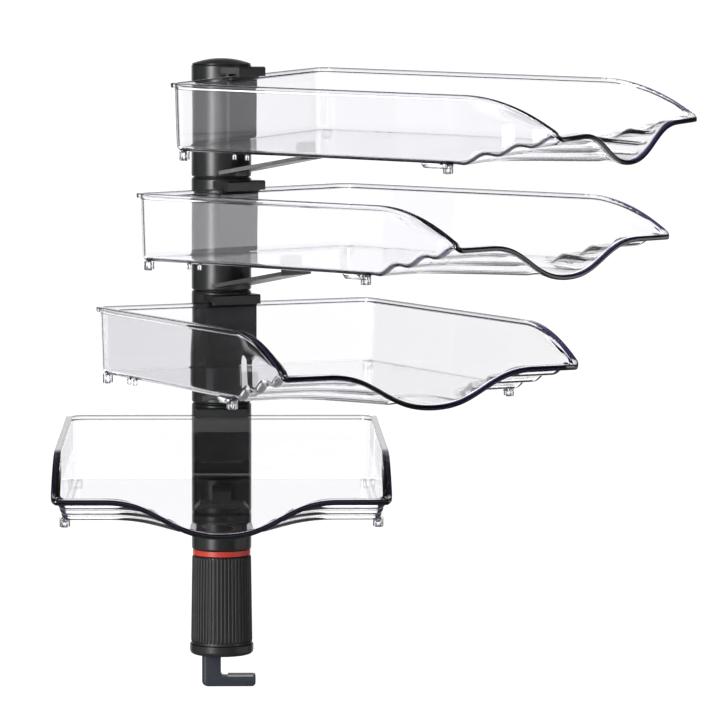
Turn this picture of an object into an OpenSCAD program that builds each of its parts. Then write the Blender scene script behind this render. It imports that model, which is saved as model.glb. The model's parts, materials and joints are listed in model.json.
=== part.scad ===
// Desk-clamped tower of four clear letter trays.
// Each tray hangs on its own column segment and swivels about the column.
// Origin: column axis, on the face of the foot that stands on the desk top.

/* [Column] */
// Outer diameter of the column segments
column_d = 51.2; // [50.6:0.2:53]
// Outer diameter of the steel mast inside the segments
mast_d = 30; // [28:0.5:30]
// Wall of the steel mast
mast_wall = 2.5; // [1.5:0.5:4]
// Height of one level, from seam to seam
pitch = 96.6; // [94:0.2:110]
// Number of levels, top one is level 1
levels = 4; // [4:1:4]
// Height of the collar under the lowest level
collar_h = 30.1; // [26:0.1:40]
// Rise of the domed cap over the top segment
cap_rise = 4.7; // [3:0.1:8]

/* [Swivel at rest] */
// Swivel of level 1, the top one
turn_1 = 59.8; // [-180:0.2:180]
// Swivel of level 2
turn_2 = 45.6; // [-180:0.2:180]
// Swivel of level 3
turn_3 = 25.4; // [-180:0.2:180]
// Swivel of level 4
turn_4 = 0; // [-180:0.2:180]
// How far the nose of the top tray sags, in degrees
sag_nose = 1.2; // [0:0.1:2]
// How far the right side of the top tray sags, in degrees
sag_side = 2; // [0:0.1:2.5]

/* [Clamp] */
// Height of the smooth foot
foot_h = 8.8; // [7:0.1:12]
// Diameter of the smooth foot
foot_d = 54.8; // [53.6:0.2:58]
// Length of the ribbed grip with its running gaps
grip_h = 77.4; // [70:0.2:90]
// Grip diameter at its top
grip_top_d = 51; // [50:0.2:51.2]
// Grip diameter at its bottom
grip_foot_d = 53.2; // [52:0.2:54]
// Number of flutes round the grip
flutes = 48; // [36:2:52]
// Height of the red ring
ring_h = 4.5; // [3:0.1:6]
// Diameter of the red ring
ring_d = 49.6; // [48:0.2:50.4]
// Outer diameter of the slotted tube in the grip
clamp_tube_d = 41; // [40.6:0.2:41.4]
// Gap of the jaw at rest
jaw_gap = 18.3; // [14:0.1:24]
// Width of the hook's shank
shank_w = 16.3; // [14:0.1:16.6]
// Depth of the hook, front to back
hook_d = 14; // [12:0.5:14]
// Thickness of the hook's foot
hook_t = 9.8; // [7:0.1:12]
// Reach of the hook's foot from the column axis
hook_reach = 29.2; // [24:0.1:32]
// Left face of the shank, measured from the column axis
shank_left = -17; // [-17:0.1:-16]

/* [Tray] */
// Width over the side rims
tray_w = 264; // [240:1:290]
// Distance from the column axis to the front lip
tray_reach = 386.5; // [386:0.5:392]
// Distance from the column axis to the rear wall
tray_back = 25; // [24.5:0.1:26]
// Height of the rim above the level's seam
rim_z = 88.2; // [86:0.1:89]
// Height of the tray's underside above the level's seam
floor_z = 31.5; // [30:0.5:34]
// Thickness of the floor and walls
skin = 2.3; // [1.8:0.1:3]
// Width of the outward rim
rim_w = 3.4; // [2.4:0.1:4]
// Depth of the rim
rim_t = 3.8; // [3:0.1:5]
// Side draft of the walls over their height
draft = 1.7; // [0:0.1:3]
// Radius of the two rear corners
corner_r = 9; // [5:0.5:14]
// Where the side rim starts to drop
drop_start = 297; // [260:1:320]
// How far the side rim drops at the lip
drop_h = 31; // [30:0.5:40]
// Where the stepped ramp starts
ramp_start = 291.3; // [285:0.5:300]
// Height of one step of the ramp
step_h = 7.4; // [6:0.1:9]
// Length of one step of the ramp
step_run = 31.4; // [28:0.1:32]
// Half width of the scoop in the lip
scoop_half = 83; // [70:1:95]
// Diameter of the feet
tray_foot_d = 9; // [7:0.5:11]
// Height of the feet below the floor
tray_foot_h = 7; // [5:0.5:8]

/* [Support blade and clip] */
// Thickness of the blade
blade_t = 3.4; // [3:0.1:5]
// Height of the blade's root above the seam
blade_z = 3; // [2.4:0.1:3.4]
// Half width of the blade where it leaves the column
blade_root = 23.5; // [21:0.5:24]
// Half width of the blade's tip
blade_tip = 18.5; // [12:0.5:21]
// Distance from the axis to the blade's tip
blade_reach = 88; // [70:1:110]
// Height of the blade's tip, on top
blade_top = 20.4; // [16:0.1:22]
// Half width of the rim clip
clip_half = 22.4; // [20:0.1:22.5]
// Height of the rim clip
clip_h = 5.7; // [5:0.1:6.4]
// Width of the flat plate behind the tray
plate_w = 46; // [40:0.5:48]

/* [Hidden] */
$fn = 96;
run_gap = 0.05;
part_gap = 0.3;

column_r = column_d / 2;
mast_r = mast_d / 2;
clamp_tube_r = clamp_tube_d / 2;
clamp_tube_wall = 1.7;
foot_r = foot_d / 2;

// Heights of the stack, from the desk upwards
ring_z = foot_h + grip_h;
collar_z = ring_z + ring_h;
stack_z = collar_z + collar_h;
top_z = stack_z + levels * pitch;
turn = [turn_1, turn_2, turn_3, turn_4];

// Inside the column
bush_r = mast_r + 2.6;
bush_len = 14;
bush_top = pitch - 6;
segment_gap = 0.3;
mast_top = stack_z + (levels - 1) * pitch + bush_top + run_gap;
washer_t = 1.5;
seam_round = 1.9;
seam_r = column_r - seam_round - 0.5;
root_in = 19.2;
root_out = 23;
root_back = 6;
screw_at = (root_in + root_out) / 2;
screw_r = 1;
screw_head_r = 1.8;
screw_len = 13;
plate_v = 20.5;
plate_t = 3;
plate_low = 30;
clip_z = rim_z + 0.1;
clip_lip_v = tray_back + skin + part_gap;
clip_lip_t = 3;
clip_lip_drop = 2.4;
seat_low = 29;
seat_high = clip_z;

// Clamp inside
foot_web = 3.5;
pad_t = 1.2;
pad_in = 19;
pad_out = 23.6;
foot_round = 3.6;
blade_bend = 12;
upstand_z = floor_z - 4;
upstand_half = 8;
hang_drop = clip_half * sin(sag_side);
grip_journal = 6;
grip_bore = clamp_tube_r + 1.5;
key_w = 8;
key_h = 8;
key_z = 50;
key_x = shank_left + shank_w / 2;
key_reach = grip_bore - part_gap;
shank_top = 66;
travel_down = 30;
travel_up = 15;
hook_pad_t = 1.2;
collar_step = 12;
hook_round = 4.2;
hook_side_round = 4;
inner_round = 3;

// Tray helpers
wall_x = tray_w / 2 - rim_w;
steps = 3;
ramp_len = steps * step_run;
lip_z = floor_z + steps * step_h;
lip_t = 3.8;
scoop_depth = (lip_z - floor_z) / 2;
curve_n = 12;

still_nodes = ["mast_tube", "clamp_tube", "base_collar", "red_ring", "clamp_foot", "desk_pad",
               "mast_plug", "retaining_washer", "cap_screw", "collar_grub_screws", "foot_pins"];
clamp_nodes = ["fluted_grip", "hook_arm", "hook_pad", "drive_key", "key_screw"];
level_nodes = ["carrier", "upper_bush", "lower_bush", "rim_clip", "clip_screws", "support_blade",
               "blade_screws", "rest_pad", "seam_washer", "tray"];

// ---- placing ----

// Height of the seam under level k
function seam(k) = stack_z + (levels - k) * pitch;

// A level's parts are drawn with their tray towards -Y, then turned about the column
module level(k) {
    translate([0, 0, seam(k)]) rotate([0, 0, turn[k - 1]]) children();
}

// A solid drawn in plan with its outward direction along +Y, turned to face -Y
module outward() {
    rotate([0, 0, 180]) children();
}

// A ring about Z
module ring(r_out, r_in, z0, z1) {
    translate([0, 0, z0]) difference() {
        cylinder(r = r_out, h = z1 - z0);
        translate([0, 0, -1]) cylinder(r = r_in, h = z1 - z0 + 2);
    }
}

// A side view of points [outward, height], extruded across the level
module side_view(points, half) {
    rotate([90, 0, 90]) linear_extrude(height = 2 * half, center = true) polygon(points);
}

// A front view of points [across, height], extruded outwards from v0 to v1
module front_view(points, v0, v1) {
    translate([0, v1, 0]) rotate([90, 0, 0]) linear_extrude(height = v1 - v0) polygon(points);
}

// Points of a quarter circle, for rounded profiles
function arc(cx, cy, r, a0, a1, n = 8) =
    [for (i = [0:n]) let (a = a0 + (a1 - a0) * i / n) [cx + r * cos(a), cy + r * sin(a)]];

// A revolved body whose two outer edges are rounded
module rounded_drum(r, z0, z1, edge_low, edge_high, bore) {
    rotate_extrude() polygon(concat(
        [[bore, z0]],
        arc(r - edge_low, z0 + edge_low, edge_low, -90, 0),
        arc(r - edge_high, z1 - edge_high, edge_high, 0, 90),
        [[bore, z1]]));
}

// ---- column and base ----

module mast_tube() {
    color("silver")
    ring(mast_r, mast_r - mast_wall, collar_z + collar_step, mast_top);
}

module mast_plug() {
    color("dimgray")
    ring(mast_r - mast_wall, 3, mast_top - 16, mast_top);
}

module retaining_washer() {
    color("silver")
    ring(bush_r - part_gap, 3, mast_top, mast_top + washer_t);
}

module cap_screw() {
    color("gray") translate([0, 0, mast_top]) {
        translate([0, 0, -12]) cylinder(r = 3, h = 12 + washer_t);
        translate([0, 0, washer_t]) cylinder(r = 5.5, h = 3);
    }
}

module base_collar() {
    color([0.13, 0.13, 0.14]) difference() {
        rounded_drum(column_r, collar_z, stack_z - segment_gap, 2, seam_round, mast_r);
        translate([0, 0, collar_z - 1]) cylinder(r = clamp_tube_r, h = collar_step + 1);
        collar_screw_places() translate([0, 0, -3]) cylinder(r = 2.5, h = 30);
    }
}

// Three radial places for the grub screws that hold the mast in the collar
module collar_screw_places() {
    for (a = [30, 90, 150])
        rotate([0, 0, a]) translate([mast_r, 0, collar_z + collar_step + 9]) rotate([0, 90, 0])
            children();
}

module collar_grub_screws() {
    color("dimgray") collar_screw_places() difference() {
        cylinder(r = 2.5, h = 8);
        translate([0, 0, 6]) cylinder(r = 1.4, h = 3, $fn = 6);
    }
}

module red_ring() {
    color([0.85, 0.2, 0.16]) rounded_drum(ring_d / 2, ring_z, collar_z, 0.3, 0.3, clamp_tube_r);
}

module clamp_tube() {
    slot_low = key_z - travel_down - 0.5;
    slot_high = key_z + key_h + travel_up + 0.5;
    color("silver") difference() {
        ring(clamp_tube_r, clamp_tube_r - clamp_tube_wall, foot_web, collar_z + collar_step);
        translate([key_x - key_w / 2 - 0.2, -30, slot_low])
            cube([key_w + 0.4, 60, slot_high - slot_low]);
        foot_pin_places() cylinder(r = 1.5, h = 10);
    }
}

// Two radial places at the back for the pins that hold the foot on the clamp tube
module foot_pin_places() {
    for (a = [50, 130])
        rotate([0, 0, a]) translate([clamp_tube_r - 2, 0, 6]) rotate([0, 90, 0]) children();
}

module foot_pins() {
    color("silver") foot_pin_places() cylinder(r = 1.5, h = 6.5);
}

module clamp_foot() {
    color([0.12, 0.12, 0.13]) difference() {
        rounded_drum(foot_r, 0, foot_h, foot_round, 0.6, 1);
        translate([0, 0, foot_web]) cylinder(r = clamp_tube_r, h = foot_h);
        translate([0, 0, -1]) ring(pad_out, pad_in, 0, pad_t + 1);
        translate([shank_left - 0.2, -hook_d / 2 - 0.2, -1])
            cube([shank_w + 0.4, hook_d + 0.4, foot_h + 2]);
        foot_pin_places() cylinder(r = 1.5, h = 10);
    }
}

module desk_pad() {
    color([0.2, 0.2, 0.2]) ring(pad_out, pad_in, 0, pad_t);
}

// ---- clamp ----

module fluted_grip() {
    low = foot_h + part_gap;
    high = ring_z - part_gap;
    flute_r = 1.05;
    lean = atan((grip_foot_d - grip_top_d) / 2 / (high - low));
    color([0.1, 0.1, 0.11]) difference() {
        rotate_extrude() polygon(concat(
            [[clamp_tube_r + run_gap, low]],
            arc(grip_foot_d / 2 - 0.8, low + 0.8, 0.8, -90, 0, 4),
            arc(grip_top_d / 2 - 1.2, high - 1.2, 1.2, 0, 90, 4),
            [[clamp_tube_r + run_gap, high], [clamp_tube_r + run_gap, high - grip_journal],
             [grip_bore, high - grip_journal - 1.5], [grip_bore, low + grip_journal + 1.5],
             [clamp_tube_r + run_gap, low + grip_journal]]));
        for (i = [0:flutes - 1])
            rotate([0, 0, i * 360 / flutes]) translate([grip_foot_d / 2 + 0.25, 0, low - 1])
                rotate([0, -lean, 0]) cylinder(r = flute_r, h = high - low + 3, $fn = 16);
    }
}

// Side view of the hook: shank up the left, foot along the bottom
module hook_arm() {
    right = shank_left + shank_w;
    low = -jaw_gap - hook_t;
    top = -jaw_gap - hook_pad_t;
    outline = concat(
        [[shank_left, shank_top], [shank_left, low + hook_round]],
        arc(shank_left + hook_round, low + hook_round, hook_round, 180, 270),
        arc(hook_reach - hook_round, low + hook_round, hook_round, -90, 0),
        arc(hook_reach - 1.5, top - 1.5 + hook_pad_t, 1.5, 0, 90),
        [[hook_reach - 2.4, top + hook_pad_t], [hook_reach - 2.4, top]],
        [[right + inner_round + 3, top]],
        arc(right + inner_round, top + inner_round, inner_round, 270, 180),
        [[right, shank_top]]);
    color([0.2, 0.22, 0.27]) difference() {
        intersection() {
            rotate([90, 0, 0]) linear_extrude(height = hook_d, center = true) polygon(outline);
            translate([0, 0, low - 1]) linear_extrude(height = shank_top - low + 2) hook_plan();
        }
        translate([key_x - key_w / 2, -hook_d, key_z]) cube([key_w, 2 * hook_d, key_h]);
        translate([key_x, 0, key_z + key_h - 1]) cylinder(r = 2, h = 30);
    }
}

// Plan of the hook, rounded down the back of its shank
module hook_plan() {
    r = hook_side_round;
    polygon(concat(
        arc(shank_left + r, -hook_d / 2 + r, r, 180, 270), [[hook_reach, -hook_d / 2]],
        [[hook_reach, hook_d / 2]], arc(shank_left + r, hook_d / 2 - r, r, 90, 180)));
}

module hook_pad() {
    left = shank_left + shank_w + inner_round + 3;
    color([0.55, 0.56, 0.58])
    translate([left, -hook_d / 2, -jaw_gap - hook_pad_t])
        cube([hook_reach - 2.4 - left, hook_d, hook_pad_t]);
}

module drive_key() {
    color("goldenrod") difference() {
        intersection() {
            translate([key_x - key_w / 2, -30, key_z]) cube([key_w, 60, key_h]);
            cylinder(r = key_reach, h = 200);
        }
        translate([key_x, 0, key_z + 2]) cylinder(r = 2, h = 30);
    }
}

module key_screw() {
    color("silver") translate([key_x, 0, key_z + 2]) difference() {
        cylinder(r = 2, h = shank_top - key_z - 2);
        translate([0, 0, shank_top - key_z - 4]) cylinder(r = 1.1, h = 3, $fn = 6);
    }
}

// ---- one level ----

module carrier() {
    color([0.15, 0.15, 0.16]) outward() difference() {
        union() {
            difference() {
                rounded_drum(column_r, segment_gap, pitch - segment_gap, seam_round, seam_round,
                             mast_r + 1.4);
                translate([-40, plate_v, seat_low]) cube([80, 40, seat_high - seat_low]);
            }
            difference() {
                translate([-plate_w / 2, plate_v - plate_t, plate_low])
                    cube([plate_w, plate_t, rim_z - plate_low]);
                cylinder(r = bush_r + 0.4, h = pitch);
            }
        }
        // Bores for the two bushes
        translate([0, 0, -1]) cylinder(r = bush_r, h = bush_len + segment_gap + 1);
        translate([0, 0, bush_top - bush_len]) cylinder(r = bush_r, h = pitch);
        // Pocket and slot for the blade, open downwards
        root_pocket(-1, blade_z + blade_t + 0.1);
        blade_body(0.1);
        // Pocket and slot for the clip, open upwards
        root_pocket(clip_z - 0.1, pitch + 1);
        translate([-clip_half - 0.1, 10, clip_z - 0.1]) difference() {
            cube([2 * clip_half + 0.2, 40, clip_h + 0.2]);
            translate([clip_half + 0.1, -10, -1]) cylinder(r = root_in - 0.1, h = clip_h + 4);
        }
        root_screw_places() translate([0, 0, -1]) cylinder(r = screw_r, h = screw_len + 5);
        root_screw_places() translate([0, 0, clip_z - screw_len + 4])
            cylinder(r = screw_r, h = screw_len + 5);
    }
}

// Half-ring pocket round the bush bores
module root_pocket(z0, z1) {
    intersection() {
        ring(root_out + 0.1, root_in - 0.1, z0, z1);
        translate([-40, -root_back - 0.1, z0 - 1]) cube([80, 80, z1 - z0 + 2]);
    }
}

// Half-ring root of the blade and of the clip
module half_root(z0, z1) {
    intersection() {
        ring(root_out, root_in, z0, z1);
        translate([-40, -root_back, z0 - 1]) cube([80, 80, z1 - z0 + 2]);
    }
}

module root_screw_places() {
    for (side = [-1, 1]) translate([side * screw_at, 0, 0]) children();
}

module upper_bush() {
    color("ivory") ring(bush_r, mast_r + run_gap, bush_top - bush_len, bush_top);
}

module lower_bush() {
    color("ivory") ring(bush_r, mast_r + run_gap, segment_gap, segment_gap + bush_len);
}

module seam_washer() {
    color([0.08, 0.08, 0.08])
    ring(seam_r, mast_r + 1.5, -segment_gap + run_gap, segment_gap - run_gap);
}

// Plan of the blade from the column out to its tip
module blade_plan(grow, reach) {
    share = (reach - 11) / (blade_reach - 11);
    tip = blade_root + (blade_tip - blade_root) * share;
    difference() {
        polygon([[-blade_root - grow, 11 - grow], [-tip - grow, reach], [tip + grow, reach],
                 [blade_root + grow, 11 - grow]]);
        circle(r = root_in - grow);
    }
}

// The blade outside its root, thickened all round by grow
module blade_body(grow) {
    low = blade_z - grow;
    high = blade_z + blade_t + grow;
    rise = blade_top - blade_t - blade_z;
    intersection() {
        side_view([[0, low], [blade_bend, low], [blade_reach, low + rise],
                   [blade_reach, high + rise], [blade_bend, high], [0, high]], 40);
        linear_extrude(height = 60) blade_plan(grow, blade_reach);
    }
}

module support_blade() {
    upstand_low = blade_top - blade_t + 0.5;
    color([0.2, 0.2, 0.21]) outward() difference() {
        union() {
            half_root(blade_z, blade_z + blade_t);
            blade_body(0);
            translate([-upstand_half, blade_reach - 10, upstand_low])
                cube([2 * upstand_half, 10, upstand_z - upstand_low]);
        }
        root_screw_places() cylinder(r = screw_r, h = 20);
    }
}

module blade_screws() {
    color("silver") outward() root_screw_places() {
        translate([0, 0, blade_z]) cylinder(r = screw_r, h = screw_len);
        translate([0, 0, blade_z - 1.4]) cylinder(r = screw_head_r, h = 1.4);
    }
}

// Rubber block between the blade's tip and the floor of tray k
module rest_pad(k) {
    color([0.25, 0.25, 0.25]) outward() difference() {
        translate([-upstand_half, blade_reach - 9.5, upstand_z]) cube([2 * upstand_half, 9, 6]);
        as_hung(k) translate([-40, 40, floor_z]) cube([80, 80, 20]);
    }
}

module rim_clip() {
    lip_v = clip_lip_v + clip_lip_t;
    side = [[0, clip_z], [clip_lip_v, clip_z], [clip_lip_v, clip_z - clip_lip_drop],
            [lip_v, clip_z - clip_lip_drop], [lip_v, clip_z + clip_h - 1],
            [lip_v - 1, clip_z + clip_h], [0, clip_z + clip_h]];
    color([0.13, 0.13, 0.14]) outward() difference() {
        union() {
            half_root(clip_z, clip_z + blade_t);
            difference() {
                intersection() {
                    side_view(side, clip_half);
                    translate([-40, 12, 0]) cube([80, 60, pitch]);
                }
                cylinder(r = root_in, h = pitch);
            }
        }
        root_screw_places() translate([0, 0, clip_z - 1]) cylinder(r = screw_r, h = 20);
    }
}

module clip_screws() {
    color("silver") outward() root_screw_places() {
        translate([0, 0, clip_z + blade_t - screw_len]) cylinder(r = screw_r, h = screw_len);
        translate([0, 0, clip_z + blade_t]) cylinder(r = screw_head_r, h = 1.4);
    }
}

module top_cap() {
    spigot = 3;
    dome_r = (column_r * column_r + cap_rise * cap_rise) / (2 * cap_rise);
    color([0.14, 0.14, 0.15]) translate([0, 0, top_z - segment_gap]) {
        intersection() {
            translate([0, 0, cap_rise + segment_gap - dome_r]) difference() {
                sphere(r = dome_r);
                sphere(r = dome_r - 1.6);
            }
            cylinder(r = column_r - 0.6, h = 20);
        }
        ring(bush_r, bush_r - 1.5, -spigot, 1.6);
    }
}

// ---- tray ----

// Underside of the stepped ramp at distance v
function ramp(v) = let (t = min(max(v - ramp_start, 0), ramp_len))
    floor_z + step_h * t / step_run - 1.5 * sin(360 * t / step_run);

// Underside of the scooped lip at u across
function scoop(u) = abs(u) >= scoop_half ? lip_z
    : lip_z - scoop_depth * (1 + cos(180 * u / scoop_half));

// Top of the side rim at distance v
function rim_top(v) = v < drop_start ? rim_z
    : rim_z - drop_h * pow((v - drop_start) / (tray_reach - drop_start), 2);

ramp_v = [for (i = [0:curve_n * steps]) ramp_start + i * step_run / curve_n];
drop_v = [for (i = [0:curve_n]) drop_start + i * (tray_reach - drop_start) / curve_n];
scoop_u = [for (i = [-curve_n:curve_n]) i * scoop_half / curve_n];

// Region under the ramp, lifted by h, as a side view
function ramp_region(h) = concat([[0, -20], [0, floor_z + h]],
    [for (v = ramp_v) [v, ramp(v) + h]], [[tray_reach + 9, lip_z + h], [tray_reach + 9, -20]]);

// Region under the scoop, lifted by h, as a front view
function scoop_region(h) = concat([[-tray_w, -20], [-tray_w, lip_z + h]],
    [for (u = scoop_u) [u, scoop(u) + h]], [[tray_w, lip_z + h], [tray_w, -20]]);

// Everything lower than the floor's underside, lifted by h
module under_floor(h) {
    intersection() {
        side_view(ramp_region(h), tray_w);
        union() {
            front_view(scoop_region(h), ramp_start, tray_reach + 9);
            translate([-tray_w, 0, -20]) cube([2 * tray_w, ramp_start + 1, 20 + floor_z + h]);
        }
    }
}

// Plan of the tray with rounded rear corners, drawn in by s
module tray_plan(s, reach) {
    half = wall_x - s;
    back = tray_back + s;
    r = max(corner_r - s, 1);
    polygon(concat(
        [[half, reach]], arc(half - r, back + r, r, 0, -90, 6),
        arc(-half + r, back + r, r, -90, -180, 6), [[-half, reach]]));
}

// Prism whose sides lean in by the draft towards the floor
module tray_block(s, reach) {
    intersection() {
        linear_extrude(height = pitch) tray_plan(s, reach);
        front_view([[-wall_x + s + draft, floor_z], [-wall_x + s, rim_z + 1],
                    [wall_x - s, rim_z + 1], [wall_x - s - draft, floor_z]], 0, reach + 1);
    }
}

// Band along the side rims
module side_rims() {
    band = concat([[corner_r + tray_back, rim_z]], [for (v = drop_v) [v, rim_top(v)]],
                  [for (i = [curve_n:-1:0]) [drop_v[i], rim_top(drop_v[i]) - rim_t]],
                  [[corner_r + tray_back, rim_z - rim_t]]);
    for (side = [-1, 1])
        translate([side * (wall_x + rim_w / 2 - 1), 0, 0]) side_view(band, rim_w / 2 + 1);
}

// Rim round the back and the two corners
module back_rim() {
    translate([0, 0, rim_z - rim_t]) linear_extrude(height = rim_t) difference() {
        tray_plan(-rim_w, tray_back + corner_r + 2);
        tray_plan(skin / 2, tray_back + 60);
    }
}

// Thick band along the front lip
module front_lip() {
    front_view(concat(
        [[-tray_w / 2, lip_z]], [for (u = scoop_u) [u, scoop(u)]], [[tray_w / 2, lip_z]],
        [[tray_w / 2, lip_z + lip_t]],
        [for (i = [2 * curve_n:-1:0]) [scoop_u[i], scoop(scoop_u[i]) + lip_t]],
        [[-tray_w / 2, lip_z + lip_t]]), tray_reach - 3.5, tray_reach);
}

// Feet, and behind the front feet the edge bars, and two pins under each side
module tray_feet() {
    front_u = wall_x - draft - 2.5;
    for (side = [-1, 1]) {
        for (place = [[front_u, 282], [front_u - 2.4, 36]])
            translate([side * place[0], place[1], floor_z - tray_foot_h])
                cylinder(r = tray_foot_d / 2, h = tray_foot_h + 1, $fn = 32);
        for (v = [85, 97])
            translate([side * (front_u + 0.6), v, floor_z - 5]) cylinder(r = 1.8, h = 6, $fn = 24);
        translate([side * front_u - 1.8, 250, floor_z - 4]) cube([3.6, 26, 5]);
    }
}

// Tilts the top tray the way it sags in its clip; the others hang level
module as_hung(k) {
    if (k == 1)
        translate([0, tray_back, rim_z - hang_drop]) rotate([-sag_nose, sag_side, 0])
            translate([0, -tray_back, -rim_z]) children();
    else
        children();
}

module tray(k) {
    color([0.86, 0.86, 0.93, 0.4]) outward() as_hung(k) {
        difference() {
            tray_block(0, tray_reach);
            difference() {
                tray_block(skin, tray_reach + 8);
                under_floor(skin);
            }
            under_floor(0);
            above_rim();
        }
        side_rims();
        back_rim();
        front_lip();
        tray_feet();
    }
}

// Region over the side rim's curve
module above_rim() {
    side_view(concat([[0, rim_z], [drop_start, rim_z]], [for (v = drop_v) [v, rim_top(v)]],
                     [[tray_reach + 9, rim_z - drop_h - 7], [tray_reach + 9, pitch + 9],
                      [0, pitch + 9]]), tray_w);
}

// ---- nodes ----

mast_tube();
clamp_tube();
base_collar();
red_ring();
clamp_foot();
desk_pad();
mast_plug();
retaining_washer();
cap_screw();
collar_grub_screws();
foot_pins();
fluted_grip();
hook_arm();
hook_pad();
drive_key();
key_screw();
top_cap();
for (k = [1:levels]) {
    level(k) carrier();
    level(k) upper_bush();
    level(k) lower_bush();
    level(k) rim_clip();
    level(k) clip_screws();
    level(k) support_blade();
    level(k) blade_screws();
    level(k) rest_pad(k);
    level(k) seam_washer();
    level(k) tray(k);
}
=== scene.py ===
"""Desk-clamped tower of four clear letter trays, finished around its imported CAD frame."""
import json
import math

import bmesh
import bpy
from mathutils import Matrix, Vector


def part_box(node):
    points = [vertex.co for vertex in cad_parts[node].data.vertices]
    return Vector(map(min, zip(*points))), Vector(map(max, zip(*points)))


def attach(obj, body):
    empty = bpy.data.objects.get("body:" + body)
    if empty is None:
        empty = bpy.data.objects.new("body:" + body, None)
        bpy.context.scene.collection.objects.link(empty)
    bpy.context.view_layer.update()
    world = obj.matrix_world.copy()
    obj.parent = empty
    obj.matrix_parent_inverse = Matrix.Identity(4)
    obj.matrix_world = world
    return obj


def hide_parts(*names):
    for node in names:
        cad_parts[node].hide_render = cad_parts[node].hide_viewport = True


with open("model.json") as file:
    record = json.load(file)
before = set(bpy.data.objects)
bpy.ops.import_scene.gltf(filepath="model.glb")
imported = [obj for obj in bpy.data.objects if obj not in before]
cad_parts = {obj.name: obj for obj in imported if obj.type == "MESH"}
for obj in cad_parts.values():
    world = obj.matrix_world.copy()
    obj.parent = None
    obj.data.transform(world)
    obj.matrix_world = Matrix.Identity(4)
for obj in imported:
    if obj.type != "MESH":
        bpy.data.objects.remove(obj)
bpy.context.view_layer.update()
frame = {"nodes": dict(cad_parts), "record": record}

MM = 0.001
LEVELS = (1, 2, 3, 4)

# -------- sizes, in millimetres

# Swivel of each level at rest, in degrees, and the height of its lower seam
TURN = {1: 59.8, 2: 45.6, 3: 25.4, 4: 0.0}
SEAM = {k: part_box("carrier_%d" % k)[0].z / MM - 0.3 for k in LEVELS}

# The top tray, level 1, sags in its clip
SAG_NOSE = 1.2  # nose down, in degrees
SAG_SIDE = 2.0  # right side down, in degrees
SAG_DROP = 0.78

# Tray
TRAY_HALF = 131.98  # half width over the rims
TRAY_BACK = 25.0  # column axis to the outside of the rear wall
TRAY_REACH = 386.5  # column axis to the front lip
RIM_Z = 88.2  # top of the rims, from the lower seam of the level
RIM_W = 3.4  # how far the rim stands out from the wall
RIM_T = 3.8
FLOOR_Z = 31.8  # underside of the floor
SKIN = 2.3  # thickness of walls and floor
DRAFT = 1.7  # how far a wall leans outwards over its height
LIP_TOP = 58.0
LIP_T = 4.2
DROP_START = 297.0  # column axis to where the side rims begin to fall
RAMP_START = 290.0  # column axis to the first step of the floor
STEPS = 3
STEP_RUN = 30.3
STEP_WAVE = 2.0  # how far each step dips and swells
SCOOP_HALF = 91.0
SCOOP_DROP = 26.8
FRONT_CORNER = 6.0
EDGE_R = 0.5  # rounding of the tray's edges
CREASE_R = 3.0  # rounding inside between floor and wall
CREASE_OUT_R = CREASE_R + SKIN
LIP_FULL = TRAY_REACH - 3  # from here outwards the lip has its full thickness
LIP_SWELLS = TRAY_REACH - 6.5  # where the floor begins to thicken into the lip
LIP_JOINS = TRAY_REACH - 16  # where the floor begins to follow the lip's curve
LIP_LOWERS = TRAY_REACH - 60  # where the scoop begins to pull the floor down

# The tray's grid: columns across, rows along the flat floor and along the steps
GRID_COLUMNS = 140
FLAT_ROWS = 8
STEP_ROWS = 90
CORNER_COUNT = 9
STRIP_COUNT = 6

# Painted shade on the clear plastic: dark lines and bands along its edges, standing in for the dark
# refractions there
SHADE_LINE = 0.96  # strength of the thin lines along the rims
LIP_DARKENS = TRAY_REACH - 4.4
FALL_BLEND = 14.0  # run over which the falling rim turns dark
TOP_FACE = 0.5  # depth that still counts as the rim's top face
OUTER_LINE = 0.5  # width of the line along the rim's outer edge
INNER_LINE = 0.6  # width of the line along the wall's top
FOOT_LINE = (0.7, 2.4)  # middle and half height of the line along the wall's foot
FOOT_LINE_GAIN = 2.5
FOOT_LINE_TOP = 3.1
WALL_FRONT = TRAY_REACH - 9  # the foot line ends here
CORNER_LINES = (40, 80)  # upright lines round each rear corner, in degrees
CORNER_LINE_HALF = 14
CLOSE = 0.1  # slack when a place is matched to a face
WALL_SLACK = 0.4

# Feet, pins and edge bars under a tray
FOOT_R = 4.3
FOOT_H = 7.6
FRONT_FEET = (124.6, 282.0)
REAR_FEET = (122.4, 36.0)
PIN_R = 1.7
PIN_H = 4.6
PINS = (124.8, 85.0, 97.0)
BAR_U = (122.8, 126.4)
BAR_V = (258.0, 286.0)
BAR_H = 3.6
BAR_BEVEL = 0.3
FOOT_SIDES = 32
PIN_SIDES = 16

# Clips and blades
EDGE_SOFT = 0.35  # rounding of their edges
SHARP_TURN = 40  # an edge that turns further than this gets rounded, in degrees
FLAT_TURN = 0.5  # faces that turn less than this are joined, in degrees

# Grip
GRIP_LOW, GRIP_HIGH = (corner.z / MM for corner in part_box("fluted_grip"))
GRIP_R_LOW = 26.5
GRIP_R_HIGH = 25.4
GRIP_BORE = 20.6
GRIP_SIDES = 144
SHOULDER_R = 1.2
RIBS = 48
RIB_HALF = 1.36
RIB_RISE = 0.95
RIB_SINK = 0.15  # how deep a rib's middle sits in the grip
RIB_END = 1.6  # length over which a rib rounds off
RIB_TIP = 0.02  # smallest share of its section at the tips

# Hook
HOOK_LEFT, HOOK_RIGHT = (corner.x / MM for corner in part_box("hook_arm"))
HOOK_LOW, HOOK_HIGH = (corner.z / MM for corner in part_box("hook_arm"))
HOOK_HALF = 7.0
HOOK_EDGE_R = 0.7  # rounding of the front and rear edges
HOOK_BACK_R = 4.0  # rounding of the long back
HOOK_BACK_W = 9.0  # width over which that rounding fades out
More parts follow.
